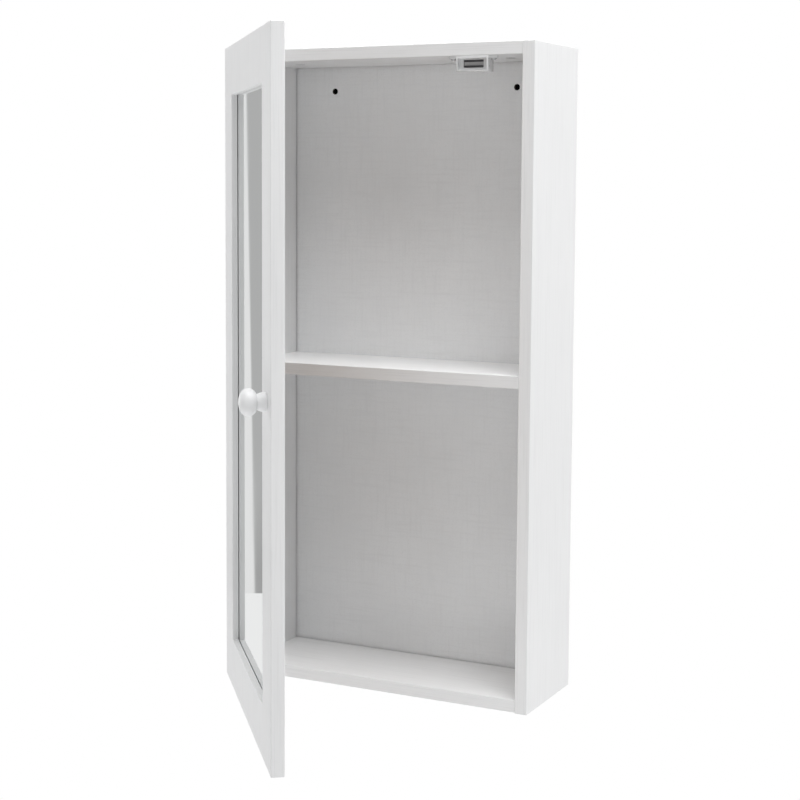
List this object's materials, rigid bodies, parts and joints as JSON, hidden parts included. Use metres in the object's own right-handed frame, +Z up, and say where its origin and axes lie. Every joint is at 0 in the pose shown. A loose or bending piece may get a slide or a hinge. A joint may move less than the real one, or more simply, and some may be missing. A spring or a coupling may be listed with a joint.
{
  "type": "medicine cabinet with mirror",
  "caption": "Narrow wall-hung bathroom cabinet with a fixed shelf, a side-hinged framed mirror door, a turned knob and a magnetic catch.",
  "frame": {"origin": "midway between the two wall-screw holes, in the plane of the back panel's rear face", "axes": "+X to the right seen from the front, +Y towards the wall, +Z up"},
  "size_m": [0.3357, 0.3827, 0.654],
  "materials": {
    "white_board": "white film-covered fibreboard, satin with faint orange peel",
    "back_board": "white painted hardboard, matt and slightly mottled",
    "door_board": "white film-covered fibreboard, satin",
    "mirror": "silvered float glass with a fine ground edge",
    "backing_board": "brown hardboard, smooth face out",
    "cam_zinc": "die-cast zinc, tumbled",
    "bolt_steel": "zinc plated steel",
    "dowel_wood": "fluted beech",
    "hinge_steel": "nickel plated pressed steel, satin",
    "screw_steel": "zinc plated steel",
    "clip_plastic": "moulded white plastic",
    "knob_white": "white lacquered, semi-gloss",
    "catch_plastic": "moulded white plastic, semi-gloss",
    "magnet_ferrite": "ferrite in a light grey coating",
    "pole_steel": "dark oiled steel",
    "strike_steel": "nickel plated steel"
  },
  "bodies": {
    "cabinet": {"left_side_panel": "white_board", "right_side_panel": "white_board", "top_panel": "white_board", "bottom_panel": "white_board", "shelf": "white_board", "back_panel": "back_board", "cam_discs": "cam_zinc", "cam_bolts": "bolt_steel", "carcass_dowels": "dowel_wood", "upper_hinge_cabinet_leaf": "hinge_steel", "lower_hinge_cabinet_leaf": "hinge_steel", "upper_hinge_pin": "hinge_steel", "lower_hinge_pin": "hinge_steel", "hinge_cabinet_screws": "screw_steel", "catch_housing": "catch_plastic", "catch_screws": "screw_steel"},
    "door": {"door_frame": "door_board", "mirror_glass": "mirror", "mirror_backing": "backing_board", "mirror_clips": "clip_plastic", "mirror_clip_screws": "screw_steel", "upper_hinge_door_leaf": "hinge_steel", "lower_hinge_door_leaf": "hinge_steel", "hinge_door_screws": "screw_steel", "knob": "knob_white", "knob_screw": "screw_steel", "strike_plate": "strike_steel", "strike_screw": "screw_steel"},
    "magnet_pack": {"catch_magnet": "magnet_ferrite", "catch_pole_plates": "pole_steel"}
  },
  "joints": [
    {"name": "door_hinge", "type": "hinge", "parent": "cabinet", "child": "door", "pos_m": [-0.1615, -0.1071, -0.2872], "axis": [0, 0, -1], "range_deg": [-51.5, 48.5]},
    {"name": "magnet_float", "type": "slide", "parent": "cabinet", "child": "magnet_pack", "axis": [0, -1, 0], "range_m": [0, 0.0042]}
  ]
}
